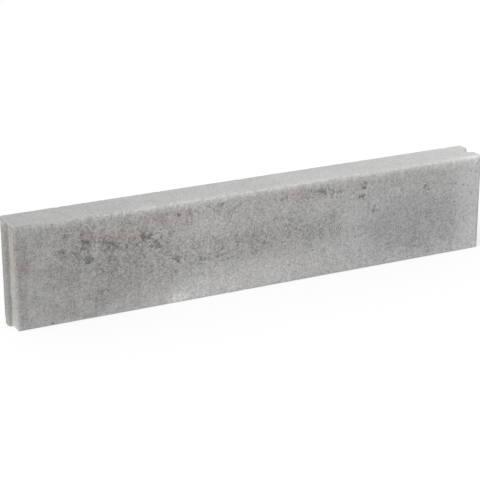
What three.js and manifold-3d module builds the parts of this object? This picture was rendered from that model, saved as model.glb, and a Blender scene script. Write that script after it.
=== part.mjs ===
// Concrete kerb stone with a rounded top edge, a tongue on one end and a groove on the other.
// Millimetres, +Z up. X runs along the stone, Y from its front face (-Y) to its back face (+Y).
// The origin is the centre of the underside, halfway between the two end shoulders.
import * as THREE from 'three';
import { mergeVertices } from 'three/addons/utils/BufferGeometryUtils.js';
import Module from 'manifold-3d';

const wasm = await Module();
wasm.setup();

// The stone
const layingLength = 1000;     // shoulder to shoulder: what one stone covers in a row
const height = 200;
const thickness = 80;

// Its edges
const topRoundRadius = 8;      // the exposed edge, front face to top face
const longArrisRadius = 2.5;   // the other three edges along the stone
const endArrisRadius = 3;      // the four upright edges of the ends

// The tongue on the -X end
const tongueRootWidth = 22;
const tongueCrestWidth = 13;
const tongueProjection = 10;
const tongueCrestRadius = 5;
const tongueRootRadius = 5;    // the hollow corner where the tongue meets its shoulders

// The groove in the +X end takes the tongue of the next stone and follows its radii
const grooveSideClearance = 1.5;
const grooveDepthClearance = 2;

const arcSegments = 8;         // facets in each quarter turn or less
const cutOverrun = 5;          // how far one blank stands past the other before they are intersected

// A closed outline through the given corners, each [x, y, radius] and rounded by a true arc.
// The corners run anticlockwise; a radius turns outwards or inwards as its corner does.
function roundedOutline(corners) {
  const outline = new THREE.Shape();
  corners.forEach(([x, y, radius], index) => {
    const corner = new THREE.Vector2(x, y);
    const [previousX, previousY] = corners.at(index - 1);
    const [nextX, nextY] = corners[(index + 1) % corners.length];
    const toPrevious = new THREE.Vector2(previousX, previousY).sub(corner).normalize();
    const toNext = new THREE.Vector2(nextX, nextY).sub(corner).normalize();
    const halfAngle = Math.acos(toPrevious.dot(toNext)) / 2;
    const centre = toPrevious.clone().add(toNext).normalize();
    centre.multiplyScalar(radius / Math.sin(halfAngle)).add(corner);
    const run = radius / Math.tan(halfAngle);
    const start = toPrevious.multiplyScalar(run).add(corner).sub(centre);
    const end = toNext.multiplyScalar(run).add(corner).sub(centre);
    const turnsRight = start.cross(end) < 0;
    outline.absarc(centre.x, centre.y, radius, start.angle(), end.angle(), turnsRight);
  });
  return outline;
}

function solidFrom(geometry) {
  geometry.deleteAttribute('normal');
  geometry.deleteAttribute('uv');
  const welded = mergeVertices(geometry);
  return new wasm.Manifold(new wasm.Mesh({
    numProp: 3,
    vertProperties: welded.attributes.position.array,
    triVerts: new Uint32Array(welded.index.array),
  }));
}

function geometryFrom(solid) {
  const { vertProperties, triVerts } = solid.getMesh();
  const geometry = new THREE.BufferGeometry();
  geometry.setAttribute('position', new THREE.BufferAttribute(vertProperties, 3));
  geometry.setIndex(new THREE.BufferAttribute(triVerts, 1));
  geometry.computeVertexNormals();
  return geometry;
}

// The cross-section, swept along X: a slab standing on its narrow side with one rounded top edge.
function sectionBlank() {
  const front = -thickness / 2;
  const back = thickness / 2;
  const outline = roundedOutline([
    [front, 0, longArrisRadius],
    [back, 0, longArrisRadius],
    [back, height, longArrisRadius],
    [front, height, topRoundRadius],
  ]);
  const length = layingLength + 2 * (tongueProjection + cutOverrun);
  const blank = new THREE.ExtrudeGeometry(outline, {
    depth: length,
    bevelEnabled: false,
    curveSegments: 2 * arcSegments,
  });
  // The outline's x becomes Y and its y becomes Z, so the sweep runs along X.
  blank.applyMatrix4(new THREE.Matrix4().makeBasis(
    new THREE.Vector3(0, 1, 0),
    new THREE.Vector3(0, 0, 1),
    new THREE.Vector3(1, 0, 0),
  ));
  blank.translate(-length / 2, 0, 0);
  return solidFrom(blank);
}

// The plan, raised along Z: a long slab with the tongue at -X and the groove at +X.
function planBlank() {
  const front = -thickness / 2;
  const back = thickness / 2;
  const tongueShoulder = -layingLength / 2;
  const tongueTip = tongueShoulder - tongueProjection;
  const grooveShoulder = layingLength / 2;
  const grooveFloor = grooveShoulder - tongueProjection - grooveDepthClearance;
  const rootHalf = tongueRootWidth / 2;
  const crestHalf = tongueCrestWidth / 2;
  const lipHalf = rootHalf + grooveSideClearance;
  const floorHalf = crestHalf + grooveSideClearance;
  const outline = roundedOutline([
    [tongueShoulder, front, endArrisRadius],
    [grooveShoulder, front, endArrisRadius],
    [grooveShoulder, -lipHalf, tongueRootRadius],
    [grooveFloor, -floorHalf, tongueCrestRadius],
    [grooveFloor, floorHalf, tongueCrestRadius],
    [grooveShoulder, lipHalf, tongueRootRadius],
    [grooveShoulder, back, endArrisRadius],
    [tongueShoulder, back, endArrisRadius],
    [tongueShoulder, rootHalf, tongueRootRadius],
    [tongueTip, crestHalf, tongueCrestRadius],
    [tongueTip, -crestHalf, tongueCrestRadius],
    [tongueShoulder, -rootHalf, tongueRootRadius],
  ]);
  const blank = new THREE.ExtrudeGeometry(outline, {
    depth: height + 2 * cutOverrun,
    bevelEnabled: false,
    curveSegments: arcSegments,
  });
  blank.translate(0, 0, -cutOverrun);
  return solidFrom(blank);
}

// One casting: what the two blanks have in common.
function kerbStone() {
  const geometry = geometryFrom(sectionBlank().intersect(planBlank()));
  const concrete = new THREE.MeshStandardMaterial({
    name: 'concrete',
    color: 0xa6a5a3,
    roughness: 0.92,
    metalness: 0,
  });
  const mesh = new THREE.Mesh(geometry, concrete);
  mesh.name = 'kerb_stone';
  return mesh;
}

const group = new THREE.Group();
group.name = 'concrete_kerb_stone';
group.add(kerbStone());

export default group;
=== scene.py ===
import math
import bpy
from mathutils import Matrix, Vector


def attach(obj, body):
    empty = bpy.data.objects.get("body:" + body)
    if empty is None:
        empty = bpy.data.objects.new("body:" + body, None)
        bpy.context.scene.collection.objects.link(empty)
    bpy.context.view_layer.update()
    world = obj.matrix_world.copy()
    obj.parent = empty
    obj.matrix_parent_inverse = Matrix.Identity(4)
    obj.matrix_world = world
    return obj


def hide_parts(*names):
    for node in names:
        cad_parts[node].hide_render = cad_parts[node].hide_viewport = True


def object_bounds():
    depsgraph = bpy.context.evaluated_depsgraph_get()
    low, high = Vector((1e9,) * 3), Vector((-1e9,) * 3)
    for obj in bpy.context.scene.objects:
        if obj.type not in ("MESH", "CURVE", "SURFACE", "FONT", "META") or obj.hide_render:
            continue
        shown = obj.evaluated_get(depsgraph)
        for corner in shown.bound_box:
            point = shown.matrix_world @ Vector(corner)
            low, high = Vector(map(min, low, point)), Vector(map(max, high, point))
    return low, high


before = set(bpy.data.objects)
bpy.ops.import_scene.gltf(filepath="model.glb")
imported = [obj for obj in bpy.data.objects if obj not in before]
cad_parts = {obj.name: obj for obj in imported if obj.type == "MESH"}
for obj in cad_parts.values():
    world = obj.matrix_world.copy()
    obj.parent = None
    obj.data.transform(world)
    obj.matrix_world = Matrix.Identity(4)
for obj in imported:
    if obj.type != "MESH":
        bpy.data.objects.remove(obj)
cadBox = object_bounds()
print("frame loaded")

# The camera stands in front, to the left and above
view = {
    "place": (-1.34215, -2.63231, 1.15598),
    "turn": (70.063, 0.032, -26.4986),   # degrees
    "lens": 120.7,
    "sensor": 36.0,
    "reach": 60,
}


def placeCamera():
    data = bpy.data.cameras.new("camera")
    data.lens = view["lens"]
    data.sensor_width = view["sensor"]
    data.clip_end = view["reach"]
    camera = bpy.data.objects.new("camera", data)
    camera.location = view["place"]
    camera.rotation_euler = [math.radians(angle) for angle in view["turn"]]
    bpy.context.scene.collection.objects.link(camera)
    bpy.context.scene.camera = camera


placeCamera()
bpy.context.scene.view_settings.view_transform = "Standard"
print("camera placed")


# One output of a node; maths on it adds Math nodes to its tree
class Wire:
    def __init__(self, graph, socket):
        self.graph = graph
        self.socket = socket

    # Another output of the same node
    def beside(self, name):
        return Wire(self.graph, self.socket.node.outputs[name])

    def maths(self, operation, *values):
        return self.graph.node("ShaderNodeMath", {"operation": operation}, dict(enumerate(values)))

    def __add__(self, other):
        return self.maths("ADD", self, other)

    def __radd__(self, other):
        return self.maths("ADD", other, self)

    def __sub__(self, other):
        return self.maths("SUBTRACT", self, other)

    def __rsub__(self, other):
        return self.maths("SUBTRACT", other, self)

    def __mul__(self, other):
        return self.maths("MULTIPLY", self, other)

    def __rmul__(self, other):
        return self.maths("MULTIPLY", other, self)

    def __truediv__(self, other):
        return self.maths("DIVIDE", self, other)

    def __neg__(self):
        return self.maths("MULTIPLY", self, -1)

    def __abs__(self):
        return self.maths("ABSOLUTE", self)

    def least(self, other):
        return self.maths("MINIMUM", self, other)

    def most(self, other):
        return self.maths("MAXIMUM", self, other)

    def below(self, limit):
        return self.maths("LESS_THAN", self, limit)

    # 0 at low, 1 at high, soft at both; high may be the smaller number
    def rise(self, low, high):
        settings = {"interpolation_type": "SMOOTHSTEP"}
        return self.graph.node("ShaderNodeMapRange", settings,
                               {"Value": self, "From Min": low, "From Max": high})

    # 0 at low, the amount at high
    def ramp(self, low, high, amount):
        return self.rise(low, high) * amount


# A node tree, of a material or of geometry nodes
class Graph:
    def __init__(self, tree):
        self.tree = tree

    # Any node: its type, its settings, then the values or links of its sockets
    def node(self, kind, settings=None, sockets=None, output=0):
        made = self.tree.nodes.new(kind)
        for name, value in (settings or {}).items():
            setattr(made, name, value)
        for name, value in (sockets or {}).items():
            if isinstance(value, Wire):
                self.tree.links.new(value.socket, made.inputs[name])
            else:
                made.inputs[name].default_value = value
        if not made.outputs:
            return made
        return Wire(self, made.outputs[output])

    def split(self, vector):
        first = self.node("ShaderNodeSeparateXYZ", None, {0: vector})
        return [first.beside(name) for name in "XYZ"]

    # The place stretched along each axis
    def stretch(self, place, factors):
        return self.node("ShaderNodeVectorMath", {"operation": "MULTIPLY"}, {0: place, 1: factors})

    def noise(self, place, scale, detail, roughness):
        return self.node("ShaderNodeTexNoise", None, {
            "Vector": place, "Scale": scale, "Detail": detail, "Roughness": roughness})

    # Sockets 6 and 7 and output 2 are the Mix node's colours
    def mix(self, amount, first, second, blend="MIX"):
        settings = {"data_type": "RGBA", "blend_type": blend}
        return self.node("ShaderNodeMix", settings, {0: amount, 6: first, 7: second}, output=2)

    # 1 for what the camera sees, directly, mirrored or through glass
    def shown(self):
        camera = self.node("ShaderNodeLightPath")
        mirrored = camera.beside("Is Glossy Ray")
        through = camera.beside("Is Transmission Ray")
        return camera.most(mirrored).most(through)


# A colour as it is picked on screen, 0 to 255, made linear
def shade(red, green, blue):
    linear = [((c / 255 + 0.055) / 1.055) ** 2.4 for c in (red, green, blue)]
    return (*linear, 1.0)


# The studio: a pale floor, even light all round and one broad lamp high on the left
studio = {
    "floorSize": 40.0,
    "floorColour": (0.49, 0.49, 0.49, 1.0),   # as the stone sees it
    "floorShown": (0.84, 0.84, 0.84, 1.0),    # as the camera sees it
    "floorShadow": 0.35,      # how much of the shadow the floor shows
    "skyColour": (1.0, 1.0, 1.0, 1.0),
    "skyLight": 0.70,
    "sunPlace": (-2.0, -2.0, 4.0),
    "sunPower": 2.3,
    "sunTurn": (24.0, -38.0, 0.0),
    "sunSpread": 50.0,
}


def buildFloor():
    bpy.ops.mesh.primitive_plane_add(size=studio["floorSize"])
    floor = bpy.context.object
    floor.name = "floor"
    material = bpy.data.materials.new("studioFloor")
    material.use_nodes = True
    material.node_tree.nodes.clear()
    graph = Graph(material.node_tree)
    shown = graph.shown()
    colour = graph.mix(shown, studio["floorColour"], studio["floorShown"])
    lit = graph.node("ShaderNodeBsdfDiffuse", None, {"Color": colour})
    white = graph.node("ShaderNodeEmission", None, {"Strength": 1.0})
    mixed = graph.node("ShaderNodeMixShader", None,
                       {0: shown * (1 - studio["floorShadow"]), 1: lit, 2: white})
    graph.node("ShaderNodeOutputMaterial", None, {"Surface": mixed})
    floor.data.materials.append(material)


def buildLight():
    world = bpy.data.worlds.new("studio")
    world.use_nodes = True
    bpy.context.scene.world = world
    world.node_tree.nodes.clear()
    graph = Graph(world.node_tree)
    sky = graph.node("ShaderNodeBackground", None, {
        "Color": studio["skyColour"],
        "Strength": studio["skyLight"] + graph.shown() * (1 - studio["skyLight"])})
    graph.node("ShaderNodeOutputWorld", None, {"Surface": sky})

    bpy.ops.object.light_add(type="SUN", location=studio["sunPlace"])
    sun = bpy.context.object
    sun.name = "broadLamp"
    sun.rotation_euler = [math.radians(angle) for angle in studio["sunTurn"]]
    sun.data.energy = studio["sunPower"]
    sun.data.angle = math.radians(studio["sunSpread"])


buildFloor()
buildLight()
print("studio built")

# The kerb stone, in metres: tongue at the left end, groove at the right.
# A noise is given as its scale, detail and roughness.
# A range or a reach says where something starts and where it is full
stone = {
    "halfLength": cadBox[1][0],
    "halfThickness": cadBox[1][1],
    "height": cadBox[1][2],
    "weld": 0.00001,
    "voxel": 0.0027,             # one face of the cast skin
    "smoothAngle": 50,
    "straightEdge": 0.012,       # the relief fades out this close to an edge
    "waviness": 0.00025,         # how far the flat faces stand back in places
    "waveNoise": (14, 3, 0.5),
    "waveRange": (0.75, 0.25),
    "sandiness": 0.00035,
    "sandNoise": (170, 2, 0.7),
    "sandRange": (0.72, 0.28),
    "sandAtEdge": 0.3,
    "chipDepth": 0.0012,
    "chipNoise": (70, 3, 0.6),
    "chipRange": (0.54, 0.72),
    "chipReach": (0.005, 0.0005),
    "pitDepth": 0.0014,
    "coarsePits": (55, 0.17, 0.30),     # cells a metre, radius in cells, share with a pit
    "finePits": (140, 0.30, 0.35),
    "smallestPit": 0.45,         # beside the widest of its layer
    "pitWall": (0, 0.5),         # from the rim inwards, in radii
    "finePitDepth": 0.7,         # beside a coarse one
    "pitsAtEdge": 0.2,
}


# How far in a point is from the stone's faces; past a shoulder, on the tongue, less than 0
def insets(x, y, z):
    return {
        "tongueEnd": x + stone["halfLength"],
        "grooveEnd": stone["halfLength"] - x,
        "ends": stone["halfLength"] - abs(x),
        "front": y + stone["halfThickness"],
        "back": stone["halfThickness"] - y,
        "broad": stone["halfThickness"] - abs(y),
        "top": stone["height"] - z,
        "foot": z,
    }


# How far a point is from the nearest long or short edge: the middle one of three distances
def edgeDistance(inset):
    nearer = inset["ends"].least(inset["broad"])
    further = inset["ends"].most(inset["broad"])
    level = inset["foot"].least(inset["top"])
    return nearer.most(further.least(level))


# 1 in the floor of each round pit and 0 outside it
def pitLayer(graph, place, scale, radius, share):
    distance = graph.node("ShaderNodeTexVoronoi", None, {"Vector": place, "Scale": scale})
    chance, size = graph.split(distance.beside("Color"))[:2]
    reach = radius * (stone["smallestPit"] + (1 - stone["smallestPit"]) * size)
    return (1 - distance / reach).rise(*stone["pitWall"]) * chance.below(share)


# Air holes of the casting, in two sizes
def castingPits(graph, place):
    coarse = pitLayer(graph, place, *stone["coarsePits"])
    fine = pitLayer(graph, place, *stone["finePits"])
    return coarse.most(fine * stone["finePitDepth"])


def reliefTree():
    tree = bpy.data.node_groups.new("castRelief", "GeometryNodeTree")
    tree.interface.new_socket("Geometry", in_out="INPUT", socket_type="NodeSocketGeometry")
    tree.interface.new_socket("Geometry", in_out="OUTPUT", socket_type="NodeSocketGeometry")
    graph = Graph(tree)
    entry = graph.node("NodeGroupInput")
    place = graph.node("GeometryNodeInputPosition")
    normal = graph.node("GeometryNodeInputNormal")
    edge = edgeDistance(insets(*graph.split(place)))
    inside = edge.rise(0, stone["straightEdge"])     # the arrises stay straight
    waves = graph.noise(place, *stone["waveNoise"]).rise(*stone["waveRange"]) * inside
    sand = graph.noise(place, *stone["sandNoise"]).rise(*stone["sandRange"])
    sand = sand * (stone["sandAtEdge"] + inside * (1 - stone["sandAtEdge"]))
    chips = graph.noise(place, *stone["chipNoise"]).rise(*stone["chipRange"])
    chips = chips * edge.rise(*stone["chipReach"])
    pits = castingPits(graph, place) * (stone["pitsAtEdge"] + inside * (1 - stone["pitsAtEdge"]))
    depth = (waves * stone["waviness"] + sand * stone["sandiness"]
             + chips * stone["chipDepth"] + pits * stone["pitDepth"])
    inward = graph.node("ShaderNodeVectorMath", {"operation": "SCALE"},
                        {0: normal, "Scale": -depth})
    moved = graph.node("GeometryNodeSetPosition", None, {"Geometry": entry, "Offset": inward})
    graph.node("NodeGroupOutput", None, {0: moved})
    return tree


def buildStone():
    bpy.ops.object.select_all(action="DESELECT")
    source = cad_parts["kerb_stone"]
    body = source.copy()
    body.data = source.data.copy()
    body.name = "castStone"
    bpy.context.scene.collection.objects.link(body)
    bpy.context.view_layer.objects.active = body
    body.select_set(True)
    bpy.ops.object.mode_set(mode="EDIT")
    bpy.ops.mesh.select_all(action="SELECT")
    bpy.ops.mesh.remove_doubles(threshold=stone["weld"])
    bpy.ops.object.mode_set(mode="OBJECT")

    skin = body.modifiers.new("skin", "REMESH")
    skin.mode = "VOXEL"
    skin.voxel_size = stone["voxel"]
    bpy.ops.object.modifier_apply(modifier=skin.name)
    print("skin faces", len(body.data.polygons))
    relief = body.modifiers.new("relief", "NODES")
    relief.node_group = reliefTree()
    bpy.ops.object.modifier_apply(modifier=relief.name)
    bpy.ops.object.shade_smooth_by_angle(angle=math.radians(stone["smoothAngle"]))
    return body


# The concrete of the stone.
# Two numbers in brackets say where something starts and where it is full, and a third says
# how much it then is. They are distances in from a face, or places along the stone, up it
# or on a noise. A noise is its scale, detail and roughness.
# A mark on the front face is along, up, half length, half height, how much
concrete = {
    "front": shade(171, 170, 168),
    "top": shade(179, 179, 178),
    "end": shade(155, 154, 151),
    "shoulder": shade(177, 173, 169),
    "shoulderFoot": shade(176, 175, 171),
    # painted shade for the tongue's flank and the crease at its root
    "flankShade": shade(138, 137, 133),
    "flankShadeHead": shade(145, 140, 136),
    "rust": shade(160, 145, 139),
    "mauve": shade(160, 145, 148),
    "cream": shade(178, 171, 164),
    "cool": shade(169, 170, 172),
    "soot": shade(92, 90, 87),
    "pitShade": shade(78, 76, 73),
    # the colour of the painted shade in pores and pits
    "bloom": shade(222, 221, 219),
    "roughness": 0.92,
    "roughnessChange": 0.1,
    "specular": 0.22,
    "bumpStrength": 0.7,
    "bumpDistance": 0.0008,
    "grainRelief": 0.8,

    # the faces
    "acrossRidge": (-0.006, 0.008),
    "topFace": (0.0080, 0.0025),
    "broadFaces": (0.010, 0.004),
    "bothEnds": (0.0035, 0.0005),
    "tongueEnd": (0.0030, 0.0005),
    "shoulderDepth": (-0.0030, -0.0008),
    "besideTongue": (0.010, 0.014),      # out from the middle
    "flankRoot": (-0.0005, -0.0025),
    "flankCrest": (-0.0090, -0.0055),
    "flankTop": (-0.0004, 0.0010),
    "grooveDepth": (0.014, 0.010),
    "grooveSides": (0.0135, 0.0115),     # out from the middle

    # the variation, from the broadest to the finest
    "cloudNoise": (7, 4, 0.6),
    "cloud": 0.18,
    "backCloud": 0.25,
    "mottleNoise": (42, 3, 0.6),
    "mottle": 0.20,
    "speckleNoise": (130, 2, 0.6),
    "speckle": 0.65,
    "grainNoise": (331, 3, 0.75),
    "grain": 1.85,
    "streakNoise": (140, 2, 0.6),
    "streakStretch": (1, 1, 0.10),      # on x, y and z
    "streaks": 0.16,
    "leftStreaks": (0.05, -0.15, 0.12),
    "coarseness": 0.68,
    "coarserPastEnd": (-0.50, -0.34, 0.20),
    "finerOnRight": (0.10, 0.25, 0.08),
    "coarserFootAlong": (-0.36, -0.10),
    "coarserFoot": (0.07, 0.03, 0.18),
    "coarserInSoot": 0.4,
    "mostSoot": 0.6,
    "finerOnTop": 0.35,

    # the outlines of marks and washes
    "raggedMarks": 3.0,
    "raggedWashes": 2.0,
    "markFade": (1.8, 0.0),      # the square of the way out, in half sizes

    # the pale rim under the rounded edge, painted light where the rounding turns to the lamp, with
    # upright streaks in it, and a painted highlight along the edge itself
    "rimDepth": (0.020, 0.006),
    "rimAtLeft": 0.15,
    "rimInMiddle": (-0.48, -0.10, 0.75),
    "rimOnRight": (0.10, 0.45, 0.30),
    "rimTone": 0.13,
    "rimStreaks": 0.35,
    "ridgeWidth": (0.008, 0.001),
    "ridgeDepth": (0.020, 0.010),
    "ridgeAtLeft": 0.040,
    "ridgeOnRight": (-0.48, -0.15, 0.065),
    "underFoot": (0.0260, 0.0120),
    "underHead": (0.0025, 0.0100),
    "underAlong": (0.20, 0.38),
    "underTone": 0.080,
    "underStreaks": 0.25,

    # slow changes of tone, with painted light in the groove and on the bottom arris
    "topTone": 0.035,
    "topSlope": 0.27,
    "topNearFront": (0.025, 0.006, 0.035),
    "tongueTop": (0.0010, -0.0030, 0.05),
    "endFoot": (0.050, 0.0, 0.16),
    "grooveLight": 0.12,
    "foot": (0.030, 0.0, 0.06),
    "bottomArrisLight": (0.007, 0.001, 0.42),

    # how far the colours of the tongue's end cover; the flank colours are painted shade in the
    # crease beside the tongue
    "shoulderCover": 0.9,
    "shoulderFootCover": (0.125, 0.100, 0.85),
    "flankCover": 0.8,
    "flankFade": (0.035, 0.003, 0.4),
    "headFoot": (0.075, 0.050),
    "headCover": (0.001, 0.015, 0.6),

    # soot, small holes and wear
    "blotNoise": (120, 3, 0.65),
    "blots": (0.62, 0.80, 0.62),
    "blotsInSoot": 0.11,
    "blotsOffRim": 0.06,
    "speckNoise": (217, 2, 0.6),
    "specks": (0.62, 0.76, 0.38),
    "specksInSoot": 0.08,
    "specksOffRim": 0.04,
    "fewerSpecksOnTop": 0.7,
    "poreNoise": (300, 2, 0.6),
    "pores": (0.64, 0.74),
    "fewerPoresOnTop": 0.6,
    "holeShade": 0.35,
    "backSootNoise": (8, 2, 0.5),
    "backSootPatches": (0.48, 0.72),
    "backSoot": (0.03, 0.15, 0.7),
    "wornEdge": (0.004, 0.0, 0.2),
    "wornAlong": (-0.0005, 0.0010),
    "wornFoot": (0.005, 0.0),
    "wornHead": (0.015, 0.005),

    "washes": [
        (-0.500, 0.110, 0.190, 0.200, -0.12),
        (-0.500, 0.110, 0.020, 0.300, -0.10),
        (-0.290, 0.095, 0.140, 0.090, -0.16),
        (0.035, 0.094, 0.150, 0.044, -0.12),
        (0.345, 0.080, 0.120, 0.055, -0.15),
        (-0.085, 0.028, 0.160, 0.040, 0.11),
        (0.080, 0.040, 0.140, 0.040, 0.08),
        (0.512, 0.105, 0.066, 0.300, 0.22),
        (0.460, 0.170, 0.060, 0.040, 0.04),
        (0.200, 0.110, 0.050, 0.050, 0.04),
        (-0.130, 0.130, 0.060, 0.050, 0.07),
        (0.120, 0.105, 0.050, 0.030, -0.05),
        (-0.430, 0.165, 0.060, 0.024, -0.07),
        (-0.265, 0.022, 0.045, 0.020, 0.06),
        (-0.119, 0.098, 0.035, 0.024, -0.09),
        (-0.275, 0.124, 0.035, 0.018, -0.07),
        (0.107, 0.169, 0.030, 0.012, -0.07),
    ],
    "rustMarks": [
        (-0.486, 0.116, 0.030, 0.020, 0.25),
        (-0.300, 0.150, 0.080, 0.014, 0.28),
        (-0.230, 0.172, 0.035, 0.016, 0.12),
    ],
    "mauveMarks": [
        (-0.375, 0.169, 0.040, 0.016, 0.30),
        (-0.184, 0.170, 0.055, 0.024, 0.28),
        (0.078, 0.182, 0.034, 0.012, 0.35),
    ],
    "creamMarks": [
        (-0.300, 0.160, 0.080, 0.008, 0.45),
    ],
    "coolMarks": [
        (0.370, 0.070, 0.240, 0.100, 0.50),
        (0.490, 0.150, 0.050, 0.060, 0.20),
    ],
    "sootMarks": [
        (-0.300, 0.143, 0.085, 0.013, 0.60),
        (-0.359, 0.117, 0.011, 0.010, 1.90),
        (-0.414, 0.141, 0.007, 0.006, 1.70),
        (-0.366, 0.153, 0.010, 0.006, 1.40),
        (-0.240, 0.144, 0.013, 0.007, 1.20),
        (-0.225, 0.126, 0.010, 0.009, 1.20),
        (-0.290, 0.128, 0.010, 0.008, 1.00),
        (0.224, 0.175, 0.008, 0.007, 1.80),
        (0.219, 0.153, 0.009, 0.008, 1.40),
        (0.253, 0.122, 0.010, 0.009, 1.40),
        (0.434, 0.145, 0.009, 0.007, 1.80),
        (0.369, 0.153, 0.008, 0.018, 1.30),
        (0.128, 0.178, 0.012, 0.006, 1.10),
        (-0.080, 0.184, 0.014, 0.005, 1.00),
        (-0.181, 0.087, 0.009, 0.009, 1.60),
        (-0.375, 0.176, 0.045, 0.012, 0.90),
        (-0.185, 0.174, 0.040, 0.012, 0.35),
        (-0.100, 0.178, 0.090, 0.010, 0.45),
        (0.100, 0.173, 0.080, 0.011, 0.75),
        (-0.160, 0.140, 0.300, 0.050, 0.40),
        (-0.270, 0.108, 0.110, 0.045, 0.45),
        (0.070, 0.100, 0.100, 0.026, 0.55),
        (-0.110, 0.080, 0.085, 0.026, 0.52),
        (0.320, 0.060, 0.160, 0.045, 0.35),
        (0.250, 0.160, 0.140, 0.035, 0.40),
    ],
    "bloomMarks": [
        (-0.182, 0.010, 0.024, 0.010, 0.36),
        (-0.130, 0.022, 0.090, 0.020, 0.15),
    ],
}


# Soft ovals on the front face, their outlines moved about by a noise
def ovals(x, z, marks, ragged):
    whole = None
    for along, up, halfLength, halfHeight, amount in marks:
        across = (x - along) / halfLength
        upward = (z - up) / halfHeight
        reach = across * across + upward * upward + ragged
        mask = reach.rise(*concrete["markFade"]) * amount
        whole = mask if whole is None else whole + mask
    return whole


# 1 on each face and 0 off it; overEdge is 0 along the middle of the rounded edge
def faceMasks(y, inset):
    overEdge = inset["front"] - inset["top"]
    top = overEdge.rise(*concrete["acrossRidge"]).least(inset["top"].rise(*concrete["topFace"]))
    side = 1 - top
    fromShoulder = inset["tongueEnd"]
    shoulder = fromShoulder.rise(*concrete["tongueEnd"]) * side
    shoulder = shoulder * fromShoulder.rise(*concrete["shoulderDepth"])
    # the tongue's steep flank, where painted shade stands in for the crease's shade
    flankShade = fromShoulder.rise(*concrete["flankRoot"]) * fromShoulder.rise(*concrete["flankCrest"])
    groove = inset["grooveEnd"].rise(*concrete["grooveDepth"])
    return {
        "overEdge": overEdge,
        "top": top,
        "side": side,
        "front": inset["front"].rise(*concrete["broadFaces"]),
        "back": inset["back"].rise(*concrete["broadFaces"]),
        "end": inset["ends"].rise(*concrete["bothEnds"]) * side,
        "shoulder": shoulder * abs(y).rise(*concrete["besideTongue"]),
        "flankShade": flankShade * inset["top"].rise(*concrete["flankTop"]),
        "groove": groove * abs(y).rise(*concrete["grooveSides"]),
    }


# Noises about 0
def noiseLayers(graph, place):
    drawn = graph.stretch(place, concrete["streakStretch"])
    return {
        "cloud": graph.noise(place, *concrete["cloudNoise"]) - 0.5,
        "mottle": graph.noise(place, *concrete["mottleNoise"]) - 0.5,
        "speckle": graph.noise(place, *concrete["speckleNoise"]) - 0.5,
        "grain": graph.noise(place, *concrete["grainNoise"]) - 0.5,
        "streaks": graph.noise(drawn, *concrete["streakNoise"]) - 0.5,
    }


# How dark or pale the stone is beside its plain colour, which is 1, with painted light on the rim,
# the edge, the groove and the bottom arris
def toneOf(x, inset, face, layer, fine, soot, rimLight):
    z = inset["foot"]
    down = inset["top"]
    cloud = layer["cloud"] * (concrete["cloud"] + face["back"] * concrete["backCloud"])
    tone = 1 + cloud + layer["mottle"] * concrete["mottle"]
    coarse = concrete["coarseness"] + x.ramp(*concrete["coarserPastEnd"])
    coarse = coarse - x.ramp(*concrete["finerOnRight"])
    coarse = coarse + x.rise(*concrete["coarserFootAlong"]) * z.ramp(*concrete["coarserFoot"])
    coarse = coarse + soot.least(concrete["mostSoot"]) * concrete["coarserInSoot"]
    tone = tone + fine * (coarse - face["top"] * concrete["finerOnTop"])
    washed = layer["mottle"] * concrete["raggedWashes"]
    tone = tone + ovals(x, z, concrete["washes"], washed) * face["front"]

    streaks = layer["streaks"]
    # painted highlight along the middle of the rounded edge, turning to a faint painted shade
    # towards the left end
    ridgeHighlight = abs(face["overEdge"]).rise(*concrete["ridgeWidth"])
    ridgeHighlight = ridgeHighlight * down.rise(*concrete["ridgeDepth"])
    ridgeHighlight = ridgeHighlight * (x.ramp(*concrete["ridgeOnRight"]) - concrete["ridgeAtLeft"])
    tone = tone + rimLight * (concrete["rimTone"] + streaks * concrete["rimStreaks"]) + ridgeHighlight
    under = down.rise(*concrete["underFoot"]) * down.rise(*concrete["underHead"])
    under = under * x.rise(*concrete["underAlong"]) * face["front"]
    tone = tone + under * (concrete["underTone"] + streaks * concrete["underStreaks"])

    # soft upright streaks down the front face
    tone = tone + streaks * face["front"] * (concrete["streaks"] + x.ramp(*concrete["leftStreaks"]))

    tone = tone + face["top"] * (x * concrete["topSlope"] - concrete["topTone"])
    tone = tone - face["top"] * inset["tongueEnd"].ramp(*concrete["tongueTop"])
    tone = tone + face["top"] * inset["front"].ramp(*concrete["topNearFront"])
    tone = tone + face["end"] * z.ramp(*concrete["endFoot"])
    # painted light inside the groove, lifting the shade that its lips cast
    tone = tone + face["groove"] * concrete["grooveLight"]
    # paler towards the foot, and painted light along the bottom arris and over the underside,
    # lifting the shade where the stone meets the floor
    return tone + face["side"] * (z.ramp(*concrete["foot"]) + z.ramp(*concrete["bottomArrisLight"]))


# The plain colours of the faces, the painted shade on the tongue's flank, and the stains on the
# front one
def plainColour(graph, x, inset, face, ragged):
    z = inset["foot"]
    down = inset["top"]
    colour = graph.mix(face["top"], concrete["front"], concrete["top"])
    colour = graph.mix(face["end"], colour, concrete["end"])
    cover = face["shoulder"] * concrete["shoulderCover"]
    colour = graph.mix(cover, colour, concrete["shoulder"])
    cover = face["shoulder"] * z.ramp(*concrete["shoulderFootCover"])
    colour = graph.mix(cover, colour, concrete["shoulderFoot"])
    # painted shade on the tongue's steep flank and in the crease at its root, paler at its head
    cover = face["flankShade"] * (concrete["flankCover"] - down.ramp(*concrete["flankFade"]))
    colour = graph.mix(cover, colour, concrete["flankShade"])
    cover = face["flankShade"] * down.rise(*concrete["headFoot"]) * down.ramp(*concrete["headCover"])
    colour = graph.mix(cover, colour, concrete["flankShadeHead"])
    for stain in ("rust", "mauve", "cream", "cool", "bloom"):
        amount = ovals(x, z, concrete[stain + "Marks"], ragged) * face["front"]
        colour = graph.mix(amount, colour, concrete[stain])
    return colour


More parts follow.
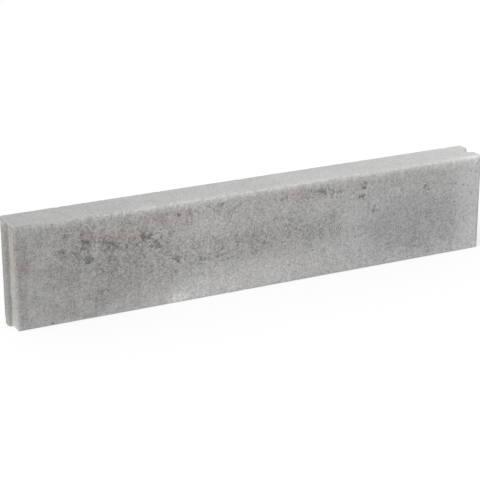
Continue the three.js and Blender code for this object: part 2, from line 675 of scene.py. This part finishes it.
def concreteMaterial():
    material = bpy.data.materials.new("castConcrete")
    material.use_nodes = True
    material.node_tree.nodes.clear()
    graph = Graph(material.node_tree)
    place = graph.node("ShaderNodeTexCoord").beside("Object")
    x, y, z = graph.split(place)
    inset = insets(x, y, z)
    face = faceMasks(y, inset)
    layer = noiseLayers(graph, place)
    fine = layer["speckle"] * concrete["speckle"] + layer["grain"] * concrete["grain"]
    ragged = layer["mottle"] * concrete["raggedMarks"] + layer["speckle"]

    soot = ovals(x, z, concrete["sootMarks"], ragged) * face["front"]
    patches = graph.noise(place, *concrete["backSootNoise"]).rise(*concrete["backSootPatches"])
    soot = soot + face["back"] * patches * z.ramp(*concrete["backSoot"])
    # painted light on the rim under the rounded edge
    rimLight = concrete["rimAtLeft"] + x.ramp(*concrete["rimInMiddle"]) + x.ramp(*concrete["rimOnRight"])
    rimLight = inset["top"].rise(*concrete["rimDepth"]) * face["side"] * rimLight
    tone = toneOf(x, inset, face, layer, fine, soot, rimLight)
    colour = plainColour(graph, x, inset, face, ragged)
    colour = graph.mix(1.0, colour, tone, "MULTIPLY")

    # soot sits in clusters of small blots, with finer specks between
    blots = graph.noise(place, *concrete["blotNoise"])
    blots = blots + soot * concrete["blotsInSoot"] - rimLight * concrete["blotsOffRim"]
    colour = graph.mix(blots.ramp(*concrete["blots"]), colour, concrete["soot"])
    specks = graph.noise(place, *concrete["speckNoise"])
    specks = specks + soot * concrete["specksInSoot"] - rimLight * concrete["specksOffRim"]
    specks = specks.ramp(*concrete["specks"]) * (1 - face["top"] * concrete["fewerSpecksOnTop"])
    colour = graph.mix(specks, colour, concrete["soot"])

    # painted shade: the pores and casting pits are darkened as if in their own shadow
    pores = graph.noise(place, *concrete["poreNoise"]).rise(*concrete["pores"])
    pores = pores * (1 - face["top"] * concrete["fewerPoresOnTop"])
    holes = pores.most(castingPits(graph, place))
    colour = graph.mix(holes * concrete["holeShade"], colour, concrete["pitShade"])
    worn = edgeDistance(inset).ramp(*concrete["wornEdge"])
    worn = worn * inset["ends"].rise(*concrete["wornAlong"])
    worn = worn * z.rise(*concrete["wornFoot"]).most(inset["top"].rise(*concrete["wornHead"]))
    colour = graph.mix(worn, colour, concrete["bloom"])

    bump = graph.node("ShaderNodeBump", None, {
        "Strength": concrete["bumpStrength"],
        "Distance": concrete["bumpDistance"],
        "Height": fine * concrete["grainRelief"] - holes})
    change = layer["mottle"] * concrete["roughnessChange"] - worn * concrete["roughnessChange"]
    surface = graph.node("ShaderNodeBsdfPrincipled", None, {
        "Base Color": colour,
        "Roughness": concrete["roughness"] + change,
        "Specular IOR Level": concrete["specular"],
        "Normal": bump})
    graph.node("ShaderNodeOutputMaterial", None, {"Surface": surface})
    return material


body = buildStone()
body.data.materials.clear()
body.data.materials.append(concreteMaterial())
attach(body, "root")
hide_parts("kerb_stone")
print("stone built")
